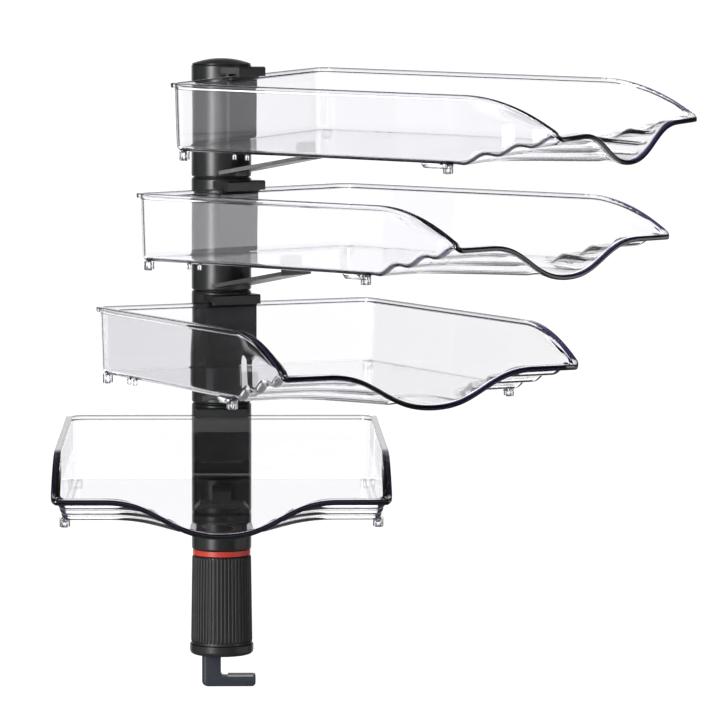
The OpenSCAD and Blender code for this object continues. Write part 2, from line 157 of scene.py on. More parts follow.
# Distances of the hook's cuts from its middle plane
HOOK_SLICES = (3.0, 4.0, 5.0, 5.8, 6.3, 6.7, 6.93, 7.0)
HEEL_R = 4.2
TOE_R = 3.4
TIP_R = 1.5
INNER_R = 3.0
SHANK_W = 16.3
PAD_LOW, PAD_TOP = (corner.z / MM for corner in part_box("hook_pad"))

# Mesh cleaning, in metres
MERGE_GAP = 1e-6
NO_LENGTH = 1e-7

# Clear plastic
CLEAR_IOR = 1.51
CLEAR_BODY = ((0.985, 0.985, 0.992), (0.995, 0.995, 1.0))
# Painted shade: the near-black indigo that the clear plastic's colour turns to along its marked edges
CLEAR_EDGE_SHADE = (0.0012, 0.0007, 0.009)
CLEAR_SOAK = (0.30, 0.28, 0.62, 1)
CLEAR_SOAK_DENSITY = 14.0

# Studio. A bearing counts in degrees from the front towards the left; sizes are in metres.
LEFT_GLOW = (85.0, 1.2)  # bearing and brightness of a soft glow in mirror images
RIGHT_GLOW = (-88.0, 1.8)
GLOW_EDGE = (0.80, 0.97)  # a glow rises between these
GLOW_ON_DULL = 0.35  # share of the glows that dull surfaces get
SCREENS = (0, 180)  # bearings of the white screens
SCREEN_EDGE = (0.72, 0.90)
SCREEN_LEVEL = 1.03
SIDE_LEVEL = 0.03
STEEP_MIRRORED = 0.12  # brightness overhead and underfoot in a first mirror image
STEEP_INSIDE = 2.0  # and what is added inside the trays
FEW_BOUNCES = 3.5  # light is inside with few bounces, past its first leg
FIRST_LEG = 1.5
OVERHEAD = (0.15, 0.38)  # height of a direction where the wall gives way to the ceiling
GROUND_LEVEL = -0.75
GROUND_HALF = 400.0
GROUND_NEAR = 2.2  # nearer than this the wall's light fades
GROUND_AFAR = (2.5, 5.0)  # between these the steep light gives way to it
GROUND_GREY = 0.2
SOFTBOX_AIM = (0, 0, 0.25)

# Camera
CAMERA_LENS = 221.1
CAMERA_CLIP = (0.1, 1500.0)
CAMERA_TURN = (1.80, 5.005, 0.12)  # right, down and rolled, in degrees
CAMERA_BACK = 3.778
CAMERA_RISE = 0.1739  # over the seam of level 1


# -------- mesh helpers

def smooth_step(low, high, x):
    t = min(1.0, max(0.0, (x - low) / (high - low)))
    return t * t * (3 - 2 * t)


def spread(start, end, count):
    return [start + (end - start) * i / count for i in range(count + 1)]


def arc_points(centre, radius, first, last, count):
    """Points on an arc, angles in degrees."""
    return [(centre[0] + radius * math.cos(math.radians(a)), centre[1] + radius * math.sin(math.radians(a)))
            for a in spread(first, last, count)]


def mesh_object(name, verts, faces):
    """A linked object from vertices in millimetres, with its faces turned outwards."""
    mesh = bpy.data.meshes.new(name)
    mesh.from_pydata([tuple(c * MM for c in v) for v in verts], [], faces)
    tidy_mesh(mesh)
    obj = bpy.data.objects.new(name, mesh)
    bpy.context.scene.collection.objects.link(obj)
    return obj


def tidy_mesh(mesh):
    """Merges doubles, turns the faces outwards and shades them smooth."""
    work = bmesh.new()
    work.from_mesh(mesh)
    bmesh.ops.remove_doubles(work, verts=work.verts, dist=MERGE_GAP)
    bmesh.ops.dissolve_degenerate(work, edges=work.edges, dist=NO_LENGTH)
    bmesh.ops.recalc_face_normals(work, faces=work.faces)
    work.to_mesh(mesh)
    work.free()
    for face in mesh.polygons:
        face.use_smooth = True


def put(obj, material, body, node=None):
    """Gives a piece its material and its body, and hides the CAD node it stands for."""
    obj.data.materials.clear()
    obj.data.materials.append(material)
    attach(obj, body)
    if node:
        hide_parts(node)
    return obj


def loft(sections, closed_ends=True):
    """Vertices and faces of a skin over closed sections that have the same number of points."""
    verts, faces = [], []
    wide = len(sections[0])
    for section in sections:
        verts.extend(section)
    for j in range(len(sections) - 1):
        for i in range(wide):
            a, b = j * wide + i, j * wide + (i + 1) % wide
            faces.append((a, b, b + wide, a + wide))
    if closed_ends:
        faces.append(tuple(range(wide)))
        faces.append(tuple(range(len(verts) - wide, len(verts))))
    return verts, faces


def lathe(profile, sides):
    """Vertices and faces of a closed profile of [radius, height], turned about Z."""
    sections = []
    for i in range(sides):
        a = 2 * math.pi * i / sides
        sections.append([(r * math.cos(a), r * math.sin(a), z) for r, z in profile])
    sections.append(sections[0])
    return loft(sections, closed_ends=False)


# -------- tray surface

RAMP_RISE = LIP_TOP - SKIN - FLOOR_Z
STEP_H = RAMP_RISE / STEPS


def lip_curve(u):
    """Top of the lip at u across."""
    t = min(1.0, abs(u) / SCOOP_HALF)
    s = (1 + math.cos(math.pi * t)) / 2
    return LIP_TOP - SCOOP_DROP * (0.6 * s + 0.4 * s * s * (3 - 2 * s))


def floor_sheet(u, v):
    """Height of the floor's underside: three swelling steps that follow the scooped lip."""
    drop = LIP_TOP - lip_curve(u)
    t = v - RAMP_START - drop * STEP_RUN / STEP_H
    t = min(max(t, 0.0), STEPS * STEP_RUN)
    z = FLOOR_Z + STEP_H * t / STEP_RUN - STEP_WAVE * math.sin(2 * math.pi * t / STEP_RUN)
    under_lip = min(0.0, lip_curve(u) - SKIN - FLOOR_Z)
    join = smooth_step(LIP_JOINS, LIP_FULL, v)
    along = z + under_lip * smooth_step(LIP_LOWERS, LIP_FULL, v)
    return along * (1 - join) + (lip_curve(u) - SKIN) * join


def floor_top(u, v):
    return floor_sheet(u, v) + SKIN


def floor_under(u, v):
    return floor_sheet(u, v) + SKIN - LIP_T * swell(v) - SKIN * (1 - swell(v))


def swell(v):
    """0 on the floor and 1 in the thicker lip."""
    return smooth_step(LIP_SWELLS, LIP_FULL, v)


def rim_top(v):
    """Height of the side rims, which fall towards the lip."""
    if v <= DROP_START:
        return RIM_Z
    t = (v - DROP_START) / (TRAY_REACH - 1 - DROP_START)
    return RIM_Z - (RIM_Z - LIP_TOP) * min(t, 1.0) ** 2


# The outline of the tray is a ring of cuts. Each runs from a point of the flat floor grid out
# to the edge, over it, and back underneath.
MARGIN = 8.0
WALL_DROP = RIM_Z - FLOOR_Z
FLOOR_HALF = TRAY_HALF - RIM_W - SKIN - DRAFT - MARGIN
FLOOR_BACK = TRAY_BACK + DRAFT + SKIN + MARGIN
FLOOR_FRONT = TRAY_REACH - MARGIN
SIDE_SPAN = TRAY_HALF - FLOOR_HALF

# Points round the edges, as [distance, depth under the rim]: the wall's top edge is counted from
# the wall's inside, the other two from the outer edge inwards
WALL_EDGE = [(0.05, EDGE_R), (0.2, 0.12), (EDGE_R, 0.0), (EDGE_R + 0.4, 0.0)]
SIDE_EDGE = [(0.45, 0.0), (0.13, 0.13), (0.0, 0.45), (0.0, 1.1), (0.0, 3.2), (0.2, 3.6), (0.6, RIM_T),
             (RIM_W, RIM_T)]
LIP_EDGE = [(1.0, 0.0), (0.3, 0.3), (0.0, 1.0), (0.0, 2.0), (0.05, 2.9), (0.3, 3.5), (1.0, LIP_T),
            (1.6, LIP_T)]
WALL_SHARES = (0.03, 0.5, 0.97)
UNDER_SHARES = (0.04, 0.5, 0.97)
LIP_UNDERCUT = 0.4


class Cut:
    """One cut through the tray's edge. lip_share is 0 on the walls and 1 along the lip."""

    def __init__(self, start, edge, lip_share):
        self.start = start
        self.lip_share = lip_share
        self.span = math.hypot(edge[0] - start[0], edge[1] - start[1])
        self.along = ((edge[0] - start[0]) / self.span, (edge[1] - start[1]) / self.span)
        self.squeeze = self.span / SIDE_SPAN
        self.rim = lip_curve(edge[0]) if lip_share == 1 else rim_top(edge[1])
        crease_at = self.place(MARGIN * self.squeeze)
        self.base_top = floor_top(*crease_at)
        self.base_under = floor_under(*crease_at)

    def place(self, distance):
        return self.start[0] + self.along[0] * distance, self.start[1] + self.along[1] * distance

    def point(self, distance, z_wall, sheet=None):
        """A point at a height that belongs to the wall, or along the lip to the given sheet."""
        u, v = self.place(distance)
        if sheet is None:
            return u, v, z_wall
        return u, v, z_wall * (1 - self.lip_share) + sheet(u, v) * self.lip_share


def inside_points(cut):
    """Along the floor's top, round the crease and up the inside of the wall."""
    wall = max(cut.rim - cut.base_top, 0.0)
    lean = DRAFT * wall / WALL_DROP
    curl = min(1.0, wall / (2 * CREASE_R))
    points = [cut.point(d, floor_top(*cut.place(d)))
              for d in spread(0, (MARGIN - CREASE_R) * cut.squeeze, STRIP_COUNT)]
    for a in (18, 36, 54, 72, 90):
        bend = math.radians(a)
        points.append(cut.point((MARGIN - CREASE_R + CREASE_R * math.sin(bend)) * cut.squeeze,
                                cut.base_top + curl * CREASE_R * (1 - math.cos(bend)), floor_top))
    z_low, z_high = cut.base_top + curl * CREASE_R, cut.rim - EDGE_R
    for f in WALL_SHARES:
        points.append(cut.point((MARGIN + lean * f) * cut.squeeze, z_low + (z_high - z_low) * f, floor_top))
    return points


def rim_points(cut):
    """Over the wall's top and round the outer edge."""
    wall_top = cut.span - (RIM_W + SKIN) * cut.squeeze
    points = [cut.point(wall_top + d, cut.rim - down, floor_top) for d, down in WALL_EDGE]
    wall_share = 1 - cut.lip_share
    for (side_in, side_down), (lip_in, lip_down) in zip(SIDE_EDGE, LIP_EDGE):
        points.append(cut.point(cut.span - side_in * wall_share - lip_in * cut.lip_share,
                                cut.rim - side_down * wall_share - lip_down * cut.lip_share))
    return points


def outside_points(cut):
    """Down the outside of the wall, round its foot and back along the floor's underside."""
    wall = max(cut.rim - RIM_T - cut.base_under, 0.0)
    lean = DRAFT * wall / WALL_DROP
    curl = min(1.0, wall / (2 * CREASE_OUT_R))
    outer = cut.span - RIM_W * cut.squeeze
    undercut = LIP_UNDERCUT * cut.squeeze * cut.lip_share
    z_low, z_high = cut.base_under + curl * CREASE_OUT_R, cut.rim - RIM_T
    points = [cut.point(outer - undercut - lean * f, z_high + (z_low - z_high) * f, floor_under)
              for f in UNDER_SHARES]
    for a in (90, 72, 54, 36, 18, 0):
        bend = math.radians(a)
        points.append(cut.point(outer - lean - CREASE_OUT_R * (1 - math.sin(bend)) * cut.squeeze,
                                cut.base_under + curl * CREASE_OUT_R * (1 - math.cos(bend)), floor_under))
    last = outer - lean - CREASE_OUT_R * cut.squeeze
    points += [cut.point(d, floor_under(*cut.place(d))) for d in spread(last, 0, STRIP_COUNT)[1:]]
    return points


def cut_points(start, edge, lip_share):
    """Points round the tray's section at one cut, from the floor's top to its underside."""
    cut = Cut(start, edge, lip_share)
    return inside_points(cut) + rim_points(cut) + outside_points(cut)


def front_corner(side, share):
    """Outer edge of a front corner, from the side (share 0) to the lip (share 1)."""
    a = math.radians(90 * share)
    centre = (TRAY_HALF - FRONT_CORNER, TRAY_REACH - FRONT_CORNER)
    return side * (centre[0] + FRONT_CORNER * math.cos(a)), centre[1] + FRONT_CORNER * math.sin(a)


def rear_corner(side, share):
    """Outer edge of a rear corner, from the side (share 0) to the rear wall (share 1)."""
    a = math.radians(90 * share)
    return side * (FLOOR_HALF + SIDE_SPAN * math.cos(a)), FLOOR_BACK - SIDE_SPAN * math.sin(a)


def tray_cuts(columns, rows):
    """Start on the floor grid, outer edge and lip share of every cut, once round the tray."""
    shares = [i / CORNER_COUNT for i in range(1, CORNER_COUNT)]
    cuts = [((-FLOOR_HALF, v), (-TRAY_HALF, v), 0.0) for v in rows]
    cuts += [((-FLOOR_HALF, FLOOR_FRONT), front_corner(-1, s), s) for s in shares]
    cuts += [((u, FLOOR_FRONT), (u, TRAY_REACH), 1.0) for u in columns]
    cuts += [((FLOOR_HALF, FLOOR_FRONT), front_corner(1, s), s) for s in reversed(shares)]
    cuts += [((FLOOR_HALF, v), (TRAY_HALF, v), 0.0) for v in reversed(rows)]
    cuts += [((FLOOR_HALF, FLOOR_BACK), rear_corner(1, s), 0.0) for s in shares]
    cuts += [((u, FLOOR_BACK), (u, FLOOR_BACK - SIDE_SPAN), 0.0) for u in reversed(columns)]
    cuts += [((-FLOOR_HALF, FLOOR_BACK), rear_corner(-1, s), 0.0) for s in reversed(shares)]
    return cuts


def edge_skin(sections):
    """Vertices and faces between neighbouring cuts, closed into a ring."""
    verts, faces = [], []
    deep = len(sections[0])
    for section in sections:
        verts.extend(section)
    for i in range(len(sections)):
        here, after = i * deep, (i + 1) % len(sections) * deep
        for j in range(deep - 1):
            faces.append((here + j, here + j + 1, after + j + 1, after + j))
    return verts, faces


def floor_skin(sheet, columns, rows, first):
    """Vertices and faces of a floor sheet over the grid, numbered from first."""
    verts = [(u, v, sheet(u, v)) for v in rows for u in columns]
    faces = []
    wide = len(columns)
    for j in range(len(rows) - 1):
        for i in range(wide - 1):
            a = first + j * wide + i
            faces.append((a, a + 1, a + wide + 1, a + wide))
    return verts, faces


def tray_surface():
    """Vertices and faces of one clear tray, across, outwards and up."""
    columns = spread(-FLOOR_HALF, FLOOR_HALF, GRID_COLUMNS)
    rows = ([FLOOR_BACK, FLOOR_BACK + 1.5] + spread(FLOOR_BACK + 30, RAMP_START - 3, FLAT_ROWS)
            + spread(RAMP_START - 1, FLOOR_FRONT, STEP_ROWS))
    verts, faces = edge_skin([cut_points(*cut) for cut in tray_cuts(columns, rows)])
    for sheet in (floor_top, floor_under):
        more_verts, more_faces = floor_skin(sheet, columns, rows, len(verts))
        verts += more_verts
        faces += more_faces
    return verts, faces


# -------- painted shade along the edges of the clear plastic

def peak(x, centre, half):
    """1 at the centre, falling evenly to 0 at half on either side."""
    return max(0.0, 1 - abs(x - centre) / half)


def out_from_floor(u, v):
    """How far a place lies beyond the flat floor grid."""
    beyond_u, behind_v = abs(u) - FLOOR_HALF, FLOOR_BACK - v
    out = max(beyond_u, behind_v) if min(beyond_u, behind_v) < 0 else math.hypot(beyond_u, behind_v)
    return max(out, v - (TRAY_REACH - SIDE_SPAN)) if v > FLOOR_FRONT else out


def rim_painted_shade(out, v, under_rim):
    """Painted shade over the whole top of the falling rim, and in a line along both edges elsewhere."""
    if under_rim >= TOP_FACE:
        return 0.0
    falling = smooth_step(DROP_START, DROP_START + FALL_BLEND, v)
    on_edge = out > SIDE_SPAN - OUTER_LINE or out < SIDE_SPAN - RIM_W - SKIN + INNER_LINE
    return max(falling, SHADE_LINE * on_edge)


def corner_painted_shade(u, v):
    """Painted shade in upright lines round a rear corner."""
    turn = math.degrees(math.atan2(FLOOR_BACK - v, abs(u) - FLOOR_HALF))
    return SHADE_LINE * max(peak(turn, line, CORNER_LINE_HALF) for line in CORNER_LINES)


def painted_edge_shade(u, v, z):
    """How much painted shade darkens the body colour at a place on the tray: 1 along the lip and the
    falling rims, thin lines along the other edges, 0 on the walls and the floor."""
    out = out_from_floor(u, v)
    lip = smooth_step(LIP_DARKENS, LIP_FULL, v)
    under_rim = rim_top(v) - z
    if out > SIDE_SPAN - RIM_W - SKIN - CLOSE and under_rim < RIM_T + CLOSE:
        return max(lip, rim_painted_shade(out, v, under_rim))
    wall_foot = SIDE_SPAN - RIM_W - DRAFT
    if out <= wall_foot - CREASE_OUT_R - CLOSE or v >= WALL_FRONT:
        return lip
    height = z - floor_under(min(max(u, -FLOOR_HALF), FLOOR_HALF), max(v, FLOOR_BACK))
    if height < FOOT_LINE_TOP:
        return max(lip, min(1.0, FOOT_LINE_GAIN * peak(height, *FOOT_LINE)))
    if out > wall_foot - WALL_SLACK and abs(u) > FLOOR_HALF and v < FLOOR_BACK:
        return corner_painted_shade(u, v)
    return lip


def mark_edge_shade(mesh):
    """Stores the painted edge shade of every vertex of a tray that still stands in its own coordinates."""
    depth = mesh.attributes.new("painted_edge_shade", "FLOAT", "POINT")
    for i, vert in enumerate(mesh.vertices):
        depth.data[i].value = painted_edge_shade(*(c / MM for c in vert.co))


def level_matrix(k):
    """Takes a point across, outwards and up in level k into the frame."""
    place = Matrix.Translation((0, 0, SEAM[k] * MM)) @ Matrix.Rotation(math.radians(TURN[k] + 180), 4, "Z")
    if k != 1:
        return place
    hinge = Vector((0, TRAY_BACK, RIM_Z)) * MM
    sag = Matrix.Rotation(math.radians(SAG_SIDE), 4, "Y") @ Matrix.Rotation(math.radians(-SAG_NOSE), 4, "X")
    drop = Matrix.Translation((0, 0, -SAG_DROP * MM))
    return place @ drop @ Matrix.Translation(hinge) @ sag @ Matrix.Translation(-hinge)


# -------- feet, grip and hook

def foot_shape():
    """A short hollow foot that hangs from the floor."""
    low = -FOOT_H
    profile = [(1.6, 0.4), (1.6, low + 0.9), (2.0, low + 0.3), (2.4, low), (FOOT_R - 0.9, low),
               (FOOT_R - 0.3, low + 0.25), (FOOT_R, low + 0.9), (FOOT_R, -0.6), (FOOT_R, 0.4)]
    return lathe(profile, FOOT_SIDES)


def pin_shape():
    """A small solid pin with a blunt tip."""
    low = -PIN_H
    profile = [(PIN_R - 0.5, low), (PIN_R - 0.15, low + 0.15), (PIN_R, low + 0.5), (PIN_R, 0.4)]
    turns = spread(0, 2 * math.pi, PIN_SIDES)[:-1]
    return loft([[(r * math.cos(a), r * math.sin(a), z) for a in turns] for r, z in profile])


def bar_shape(side):
    """The thick edge bar beside a front foot, bevelled at its rear end."""
    u0, u1 = (side * b for b in BAR_U)
    v0, v1 = BAR_V
    low = -BAR_H
    outline = [(v0, 0.3), (v0 + 2.6, low + 0.4), (v0 + 3.2, low), (v1 - 0.4, low), (v1, low + 0.4),
               (v1, 0.3)]
    step = side * BAR_BEVEL
    sections = []
    for u, shrink in ((u0, BAR_BEVEL), (u0 + step, 0), (u1 - step, 0), (u1, BAR_BEVEL)):
        sections.append([(u, v, z + (shrink if z < 0 else 0)) for v, z in outline])
    return loft(sections)


def grip_core_shape():
    """The grip under its ribs, with a rounded shoulder and a small foot ring."""
    low, high = GRIP_LOW, GRIP_HIGH
    r_low, r_high = GRIP_R_LOW - RIB_RISE, GRIP_R_HIGH - RIB_RISE
    foot_ring = [(GRIP_BORE, low + 0.02), (GRIP_R_LOW - 0.4, low + 0.02), (GRIP_R_LOW - 0.1, low + 0.3),
                 (GRIP_R_LOW - 0.1, low + 0.8), (r_low, low + 2.2)]
    taper = [(r_low + (r_high - r_low) * t, low + 2.2 + (high - low - 4.2) * t)
             for t in spread(0.02, 0.98, 12)]
    shoulder = arc_points((r_high - SHOULDER_R, high - 1.25), SHOULDER_R, 0, 90, 6)
    return lathe(foot_ring + taper + shoulder + [(GRIP_BORE, high - 0.05)], GRIP_SIDES)


def rib_shape():
    """One rib of the grip, leaning with the taper and rounded off at both ends."""
    low, high = GRIP_LOW + 1.6, GRIP_HIGH - 0.7
    turns = spread(0, 2 * math.pi, 14)[:-1]
    sections = []
    for t in [0.0, 0.004, 0.012, 0.03] + spread(0.08, 0.92, 12) + [0.97, 0.988, 0.996, 1.0]:
        z = low + (high - low) * t
        middle = GRIP_R_LOW - RIB_RISE + (GRIP_R_HIGH - GRIP_R_LOW) * t - RIB_SINK
        near = min(t, 1 - t) * (high - low)
        size = math.sqrt(max(RIB_TIP, 1 - max(0.0, 1 - near / RIB_END) ** 2))
        rise = RIB_RISE * 1.1 * size
        sections.append([(middle + rise * math.cos(a), RIB_HALF * size * math.sin(a), z) for a in turns])
    return loft(sections)


def hook_outline():
    """Front view of the hook: shank up the left, foot along the bottom."""
    left, right, low = HOOK_LEFT, HOOK_LEFT + SHANK_W, HOOK_LOW
    back = [(left, HOOK_HIGH)] + [(left, z) for z in spread(40, low + 9, 8)]
    heel = arc_points((left + HEEL_R, low + HEEL_R), HEEL_R, 180, 270, 8)
    toe = arc_points((HOOK_RIGHT - TOE_R, low + TOE_R), TOE_R, -90, 0, 7)
    tip = arc_points((HOOK_RIGHT - TIP_R, PAD_TOP - TIP_R), TIP_R, 0, 80, 4)
    pad_seat = [(HOOK_RIGHT - 2.35, PAD_TOP - 0.1), (HOOK_RIGHT - 2.42, PAD_LOW + 0.06),
                (HOOK_RIGHT - 2.6, PAD_LOW), (right + INNER_R + 3, PAD_LOW)]
    inner = arc_points((right + INNER_R, PAD_LOW + INNER_R), INNER_R, 270, 180, 8)
    shank = [(right, z) for z in spread(PAD_LOW + 6, 40, 6)] + [(right, HOOK_HIGH)]
    return back + heel + toe + tip + pad_seat + inner + shank


def inset_outline(outline, distance):
    """Moves every point of a counter-clockwise outline inwards."""
    moved = []
    for i, here in enumerate(outline):
        before, after = outline[i - 1], outline[(i + 1) % len(outline)]
        sides = []
        for a, b in ((before, here), (here, after)):
            length = math.hypot(b[0] - a[0], b[1] - a[1])
            sides.append(((a[1] - b[1]) / length, (b[0] - a[0]) / length))
        nx, nz = sides[0][0] + sides[1][0], sides[0][1] + sides[1][1]
        scale = distance / max(0.5, (nx * nx + nz * nz) / 2)
        moved.append((here[0] + nx * scale, here[1] + nz * scale))
    return moved


def round_over(y, radius):
    """How far an edge of this radius has drawn in at y from the hook's middle plane."""
    past = max(0.0, abs(y) - (HOOK_HALF - radius))
    return radius - math.sqrt(max(0.0, radius * radius - past * past))


def hook_shape():
    """The hook with softened edges and a well rounded back."""
    outline = hook_outline()
    sections = []
    for y in [-y for y in reversed(HOOK_SLICES)] + list(HOOK_SLICES):
        shrink = round_over(y, HOOK_EDGE_R)
        draw = max(0.0, round_over(y, HOOK_BACK_R) - shrink)
        section = []
        for x, z in inset_outline(outline, shrink):
            share = smooth_step(HOOK_BACK_W, 0.0, x - HOOK_LEFT) if x - HOOK_LEFT < HOOK_BACK_W else 0.0
            section.append((x + draw * share, y, z))
        sections.append(section)
    return loft(sections)


# -------- shared shader effects

def effect_group(name, inputs, outputs):
    """An empty shader group with float inputs [name, value] and named outputs."""
    tree = bpy.data.node_groups.new(name, "ShaderNodeTree")
    for label, value in inputs:
        socket = tree.interface.new_socket(label, in_out="INPUT", socket_type="NodeSocketFloat")
        socket.default_value = value
    for label in outputs:
        tree.interface.new_socket(label, in_out="OUTPUT", socket_type="NodeSocketFloat")
    return tree, tree.nodes.new("NodeGroupInput"), tree.nodes.new("NodeGroupOutput")


def noise_at(tree, scale_from, detail, stretch=(1, 1, 1), offset=0.0):
    """Noise in object coordinates, its scale fed from a socket."""
    coord = tree.nodes.new("ShaderNodeTexCoord")
    mapping = tree.nodes.new("ShaderNodeMapping")
    mapping.inputs["Scale"].default_value = stretch
    mapping.inputs["Location"].default_value = (offset, offset * 0.7, offset * 1.3)
    noise = tree.nodes.new("ShaderNodeTexNoise")
    noise.inputs["Detail"].default_value = detail
    tree.links.new(coord.outputs["Object"], mapping.inputs["Vector"])
    tree.links.new(mapping.outputs["Vector"], noise.inputs["Vector"])
    tree.links.new(scale_from, noise.inputs["Scale"])
    return noise.outputs["Fac"]


def contrast(tree, value, low, high):
    """Spreads the middle of a noise over 0 to 1."""
    spreader = tree.nodes.new("ShaderNodeMapRange")
    spreader.inputs["From Min"].default_value = low
    spreader.inputs["From Max"].default_value = high
    tree.links.new(value, spreader.inputs["Value"])
    return spreader.outputs["Result"]


def math_node(tree, kind, a, b=None):
    """One step of arithmetic; a and b are sockets or numbers."""
    node = tree.nodes.new("ShaderNodeMath")
    node.operation = kind
    for socket, value in zip(node.inputs, (a, b)):
        if value is None:
            continue
        if isinstance(value, (int, float)):
            socket.default_value = value
        else:
            tree.links.new(value, socket)
    return node.outputs[0]


def moulded_grain():
    """Fine moulded or sprayed grain: a height, and a tone that drifts over a few centimetres."""
    inputs = [("Grain per metre", 2600.0), ("Drift per metre", 28.0)]
    tree, given, out = effect_group("moulded_grain", inputs, ["Height", "Tone"])
    tree.links.new(noise_at(tree, given.outputs["Grain per metre"], 2.0), out.inputs["Height"])
    tone = noise_at(tree, given.outputs["Drift per metre"], 3.0, offset=3.0)
    tree.links.new(contrast(tree, tone, 0.32, 0.68), out.inputs["Tone"])
    return tree


def handling_marks():
    """Where hands and rubbing have changed the shine: 0 untouched, 1 rubbed."""
    tree, given, out = effect_group("handling_marks", [("Marks per metre", 60.0)], ["Rubbed"])
    marks = noise_at(tree, given.outputs["Marks per metre"], 5.0, offset=7.0)
    tree.links.new(contrast(tree, marks, 0.45, 0.72), out.inputs["Rubbed"])
    return tree


def drawn_lines():
    """Fine lines along the height of drawn or turned metal."""
    tree, given, out = effect_group("drawn_lines", [("Lines per metre", 1800.0)], ["Height", "Tone"])
    lines = noise_at(tree, given.outputs["Lines per metre"], 3.0, stretch=(1, 1, 0.03))
    tree.links.new(lines, out.inputs["Height"])
    tree.links.new(contrast(tree, lines, 0.3, 0.7), out.inputs["Tone"])
    return tree


GRAIN = moulded_grain()
MARKS = handling_marks()
LINES = drawn_lines()


# -------- materials

def shader_start(name):
    mat = bpy.data.materials.new(name)
    mat.use_nodes = True
    tree = mat.node_tree
    return mat, tree, tree.nodes["Principled BSDF"]


# Sockets of a colour mix node
MIX_FACTOR, MIX_FIRST, MIX_SECOND, MIX_RESULT = 0, 6, 7, 2


def use_effect(tree, group, **values):
    node = tree.nodes.new("ShaderNodeGroup")
    node.node_tree = group
    for label, value in values.items():
        node.inputs[label.replace("_", " ")].default_value = value
    return node


def mixed_colour(tree, factor, first, second):
    """Goes from the first colour to the second; each is a socket or three numbers."""
    mix = tree.nodes.new("ShaderNodeMix")
    mix.data_type = "RGBA"
    tree.links.new(factor, mix.inputs[MIX_FACTOR])
    for place, colour in ((MIX_FIRST, first), (MIX_SECOND, second)):
        if isinstance(colour, tuple):
            mix.inputs[place].default_value = (*colour, 1)
        else:
            tree.links.new(colour, mix.inputs[place])
    return mix.outputs[MIX_RESULT]


def vary_roughness(tree, shader, factor, low, high):
    ranged = tree.nodes.new("ShaderNodeMapRange")
    ranged.inputs["To Min"].default_value = low
    ranged.inputs["To Max"].default_value = high
    tree.links.new(factor, ranged.inputs["Value"])
    tree.links.new(ranged.outputs["Result"], shader.inputs["Roughness"])


def raise_bump(tree, shader, height, depth_mm):
    relief = tree.nodes.new("ShaderNodeBump")
    relief.inputs["Distance"].default_value = depth_mm * MM
    relief.inputs["Strength"].default_value = 1.0
    tree.links.new(height, relief.inputs["Height"])
    tree.links.new(relief.outputs["Normal"], shader.inputs["Normal"])


def grained(name, dark, light, rough, grain=2600.0, depth=0.02):
    """Moulded plastic, rubber or powder coat."""
    mat, tree, shader = shader_start(name)
    effect = use_effect(tree, GRAIN, Grain_per_metre=grain, Drift_per_metre=28.0)
    marks = use_effect(tree, MARKS)
    body = mixed_colour(tree, effect.outputs["Tone"], dark, light)
    tree.links.new(body, shader.inputs["Base Color"])
    vary_roughness(tree, shader, marks.outputs["Rubbed"], *rough)
    raise_bump(tree, shader, effect.outputs["Height"], depth)
    return mat


def drawn_metal(name, dark, light, rough):
    """Drawn or turned metal with fine lines along its height."""
    mat, tree, shader = shader_start(name)
    shader.inputs["Metallic"].default_value = 1.0
    lines = use_effect(tree, LINES)
    body = mixed_colour(tree, lines.outputs["Tone"], dark, light)
    tree.links.new(body, shader.inputs["Base Color"])
    vary_roughness(tree, shader, lines.outputs["Tone"], *rough)
    raise_bump(tree, shader, lines.outputs["Height"], 0.01)
    return mat


def edge_shade_mask(tree):
    """The painted edge shade marked on the mesh, on faces seen from outside the plastic only."""
    marked = tree.nodes.new("ShaderNodeAttribute")
    marked.attribute_name = "painted_edge_shade"
    side = tree.nodes.new("ShaderNodeNewGeometry")
    outer = math_node(tree, "SUBTRACT", 1.0, side.outputs["Backfacing"])
    return math_node(tree, "MULTIPLY", marked.outputs["Fac"], outer)


def clear_plastic():
    """Polished clear plastic with a faint violet tint in its body; painted shade turns its colour dark
    indigo along the edges marked on the mesh.
    """
    mat, tree, shader = shader_start("clear_tray")
    shader.inputs["IOR"].default_value = CLEAR_IOR
    shader.inputs["Transmission Weight"].default_value = 1.0
    shader.inputs["Roughness"].default_value = 0.0
    effect = use_effect(tree, GRAIN, Grain_per_metre=900.0, Drift_per_metre=9.0)
    body = mixed_colour(tree, effect.outputs["Tone"], *CLEAR_BODY)
    # Painted shade: the body colour turns dark indigo where the mesh is marked along the edges
    tree.links.new(mixed_colour(tree, edge_shade_mask(tree), body, CLEAR_EDGE_SHADE), shader.inputs["Base Color"])
    soak = tree.nodes.new("ShaderNodeVolumeAbsorption")
    soak.inputs["Color"].default_value = CLEAR_SOAK
    soak.inputs["Density"].default_value = CLEAR_SOAK_DENSITY
    tree.links.new(soak.outputs["Volume"], tree.nodes["Material Output"].inputs["Volume"])
    return mat


def powder_coat(name, dark, light):
    return grained(name, dark, light, (0.4, 0.48), grain=1500.0, depth=0.03)


def soft_rubber(name, dark, light, rough):
    return grained(name, dark, light, rough, grain=1800.0, depth=0.04)


